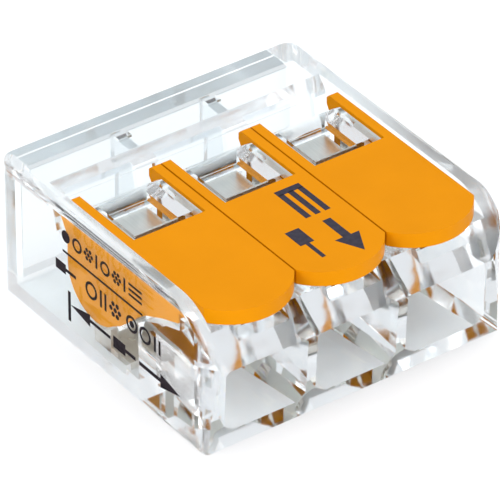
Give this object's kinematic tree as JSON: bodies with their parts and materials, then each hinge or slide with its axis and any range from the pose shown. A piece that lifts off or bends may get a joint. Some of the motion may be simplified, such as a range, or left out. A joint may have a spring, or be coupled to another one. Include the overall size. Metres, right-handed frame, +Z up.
{
  "type": "lever wire connector",
  "caption": "Compact clear-bodied lever wire connector: side-by-side wire entries, flip-up orange levers, clamping springs and a shared current bar.",
  "frame": {"origin": "centre of the base's bounding box, on the surface it rests on", "axes": "+X across the three poles, -Y towards the wire entries, +Z up towards the levers"},
  "size_m": [0.0186, 0.0184, 0.0081],
  "materials": {
    "clear_shell": "clear polycarbonate, polished",
    "lever_orange": "moulded orange plastic, satin gloss",
    "tinned_copper": "tin-plated copper, satin",
    "spring_steel": "stainless spring strip, bright"
  },
  "bodies": {
    "body": {"housing": "clear_shell", "rear_cover": "clear_shell", "busbar": "tinned_copper", "spring_1": "spring_steel", "spring_2": "spring_steel", "spring_3": "spring_steel"},
    "lever_1": {"lever_1": "lever_orange"},
    "lever_2": {"lever_2": "lever_orange"},
    "lever_3": {"lever_3": "lever_orange"},
    "clamp_leg_1": {"clamp_leg_1": "spring_steel"},
    "clamp_leg_2": {"clamp_leg_2": "spring_steel"},
    "clamp_leg_3": {"clamp_leg_3": "spring_steel"}
  },
  "joints": [
    {"name": "lever_1_hinge", "type": "hinge", "parent": "body", "child": "lever_1", "pos_m": [-0.0056, 0.0011, 0.0047], "axis": [-1, 0, 0], "range_deg": [0, 100]},
    {"name": "lever_2_hinge", "type": "hinge", "parent": "body", "child": "lever_2", "pos_m": [0, 0.0011, 0.0047], "axis": [-1, 0, 0], "range_deg": [0, 100]},
    {"name": "lever_3_hinge", "type": "hinge", "parent": "body", "child": "lever_3", "pos_m": [0.0056, 0.0011, 0.0047], "axis": [-1, 0, 0], "range_deg": [0, 100]},
    {"name": "clamp_leg_1_flex", "type": "hinge", "parent": "body", "child": "clamp_leg_1", "pos_m": [-0.0056, -0.00191, 0.00506], "axis": [1, 0, 0], "range_deg": [0, 38]},
    {"name": "clamp_leg_2_flex", "type": "hinge", "parent": "body", "child": "clamp_leg_2", "pos_m": [0, -0.00191, 0.00506], "axis": [1, 0, 0], "range_deg": [0, 38]},
    {"name": "clamp_leg_3_flex", "type": "hinge", "parent": "body", "child": "clamp_leg_3", "pos_m": [0.0056, -0.00191, 0.00506], "axis": [1, 0, 0], "range_deg": [0, 38]}
  ],
  "couplings": [
    {"joint": "clamp_leg_1_flex", "follows": "lever_1_hinge", "ratio": 0.38},
    {"joint": "clamp_leg_2_flex", "follows": "lever_2_hinge", "ratio": 0.38},
    {"joint": "clamp_leg_3_flex", "follows": "lever_3_hinge", "ratio": 0.38}
  ]
}
